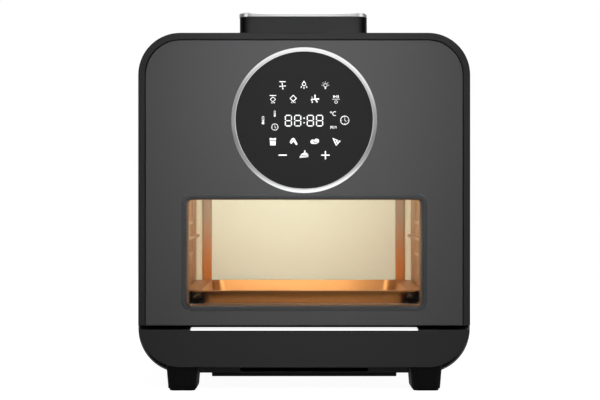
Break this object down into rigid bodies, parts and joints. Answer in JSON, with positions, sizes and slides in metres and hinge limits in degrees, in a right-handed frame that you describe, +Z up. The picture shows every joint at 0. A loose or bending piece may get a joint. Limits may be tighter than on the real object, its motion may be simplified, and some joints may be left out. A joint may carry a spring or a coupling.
{
  "type": "steam air fryer",
  "caption": "Upright counter-top steam air fryer with a drop-down windowed door, a round display, a lift-out rear water tank and a sliding drip tray.",
  "frame": {"origin": "on the floor under the middle of the object: midway between its sides and midway between the door's face and the rear spacers", "axes": "+X to the object's right as seen from the front, +Y from the door to the rear, +Z up"},
  "size_m": [0.338, 0.346, 0.4135],
  "materials": {
    "frame_dark": "satin",
    "panel_grey": "satin",
    "casing_grey": "satin",
    "trim_dark": "satin",
    "bright_metal": "polished",
    "gutter_steel": "polished",
    "lens_black": "gloss",
    "window_glass": "clear",
    "bezel_grey": "satin",
    "cavity_cream": "enamel",
    "cavity_bronze": "enamel",
    "tray_gold": "non-stick",
    "steel": "brushed",
    "heater_black": "oxidised",
    "aluminium": "cast",
    "brass": "satin",
    "tank_smoke": "gloss",
    "dock_black": "matt",
    "silicone": "matt",
    "foot_black": "matt",
    "pad_rubber": "matt",
    "board_green": "satin",
    "hose_clear": "satin",
    "lamp_glass": "frosted",
    "lamp_warm": "warm",
    "magnet_grey": "plated"
  },
  "bodies": {
    "body": {"base_pan": "steel", "cavity_liner": "cavity_cream", "cord_gland": "dock_black", "cover_bosses": "steel", "door_sensor": "dock_black", "drip_gutter": "gutter_steel", "fan_housing": "steel", "fan_motor": "steel", "foot_pads": "pad_rubber", "front_frame": "casing_grey", "front_left_foot": "foot_black", "front_right_foot": "foot_black", "front_trim": "trim_dark", "heater_guard": "steel", "heating_element": "heater_black", "lamp_bulb": "lamp_warm", "lamp_glass": "lamp_glass", "lamp_holder": "aluminium", "left_hinge_arm": "steel", "left_rack_rails": "cavity_bronze", "motor_bearings": "brass", "outer_casing": "casing_grey", "power_board": "board_green", "rear_cover": "frame_dark", "rear_left_foot": "foot_black", "rear_right_foot": "foot_black", "rear_screws": "steel", "right_hinge_arm": "steel", "right_rack_rails": "cavity_bronze", "steam_generator": "aluminium", "steam_nozzle": "brass", "steam_pipe": "steel", "tank_dock": "dock_black", "temperature_probe": "steel", "thermal_cutout": "brass", "water_hoses": "hose_clear", "water_pump": "dock_black"},
    "door": {"door_frame": "frame_dark", "door_front_panel": "panel_grey", "window_bezel": "bezel_grey", "outer_glass": "window_glass", "door_inner_panel": "steel", "inner_glass": "window_glass", "window_tunnel": "dock_black", "door_seal": "silicone", "door_magnet": "magnet_grey", "display_ring": "bright_metal", "display_lens": "lens_black", "display_board": "board_green", "digit_block": "dock_black", "left_hinge_pin": "steel", "right_hinge_pin": "steel"},
    "tank": {"water_tank": "tank_smoke", "tank_lid_pin": "steel"},
    "tank_lid_body": {"tank_lid": "bright_metal"},
    "drip_drawer": {"drip_tray": "trim_dark"},
    "cooking_tray": {"baking_tray": "tray_gold"},
    "fan_rotor": {"motor_shaft": "steel", "convection_fan": "aluminium", "cooling_fan": "dock_black"}
  },
  "joints": [
    {"name": "door_hinge", "type": "hinge", "parent": "body", "child": "door", "pos_m": [0, -0.164, 0.074], "axis": [1, 0, 0], "range_deg": [0, 90]},
    {"name": "tank_lift", "type": "slide", "parent": "body", "child": "tank", "axis": [0, 0, 1], "range_m": [0, 0.225]},
    {"name": "tank_lid_hinge", "type": "hinge", "parent": "tank", "child": "tank_lid_body", "pos_m": [0, 0.164, 0.4085], "axis": [-1, 0, 0], "range_deg": [0, 100]},
    {"name": "drip_tray_slide", "type": "slide", "parent": "body", "child": "drip_drawer", "axis": [0, -1, 0], "range_m": [0, 0.19]},
    {"name": "baking_tray_slide", "type": "slide", "parent": "body", "child": "cooking_tray", "axis": [0, -1, 0], "range_m": [0, 0.01]},
    {"name": "fan_spin", "type": "hinge", "parent": "body", "child": "fan_rotor", "pos_m": [0, -0.025, 0.3], "axis": [0, 0, 1], "continuous": true}
  ]
}
